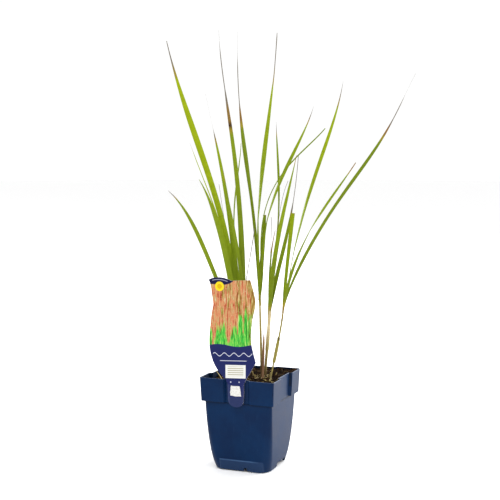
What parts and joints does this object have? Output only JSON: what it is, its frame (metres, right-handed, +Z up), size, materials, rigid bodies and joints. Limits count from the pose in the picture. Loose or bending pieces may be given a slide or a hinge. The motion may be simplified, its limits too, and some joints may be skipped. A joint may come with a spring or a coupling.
{
  "type": "feather reed grass in a square nursery pot",
  "caption": "Young feather reed grass: shoots of long narrow arching blades standing in soil in a square nursery pot with collar corners, with a clip-on plant label.",
  "frame": {"origin": "middle of the pot's base, on the plane that it stands on", "axes": "+Z up; -Y is the side that the plant label stands on; +X is to the right when that side is seen from the front"},
  "size_m": [0.3107, 0.1553, 0.5139],
  "materials": {
    "pot_plastic": "satin moulded navy plastic, lightly scuffed",
    "soil": "rough dark peat with tan fibres",
    "label_plastic": "printed plastic sheet, satin",
    "stem_straw": "dry straw-coloured sheath with fine lengthwise veins",
    "leaf_green": "fresh ribbed grass blade, satin, with dry brown tips",
    "dry_brown": "dry red-brown bract"
  },
  "bodies": {
    "root": {"pot": "pot_plastic", "soil": "soil", "plant_label": "label_plastic", "shoot_a_stem": "stem_straw", "shoot_a_blades": "leaf_green", "shoot_f_stem": "stem_straw", "shoot_f_blades": "leaf_green", "shoot_b_stem": "stem_straw", "shoot_b_blades": "leaf_green", "shoot_c_stem": "stem_straw", "shoot_c_blades": "leaf_green", "shoot_d_stem": "stem_straw", "shoot_d_blades": "leaf_green", "dry_bract": "dry_brown", "cut_stub_1": "stem_straw", "cut_stub_2": "stem_straw", "cut_stub_3": "stem_straw", "cut_stub_4": "stem_straw", "cut_stub_5": "stem_straw", "cut_stub_6": "stem_straw", "loose_straw": "stem_straw"}
  },
  "joints": []
}
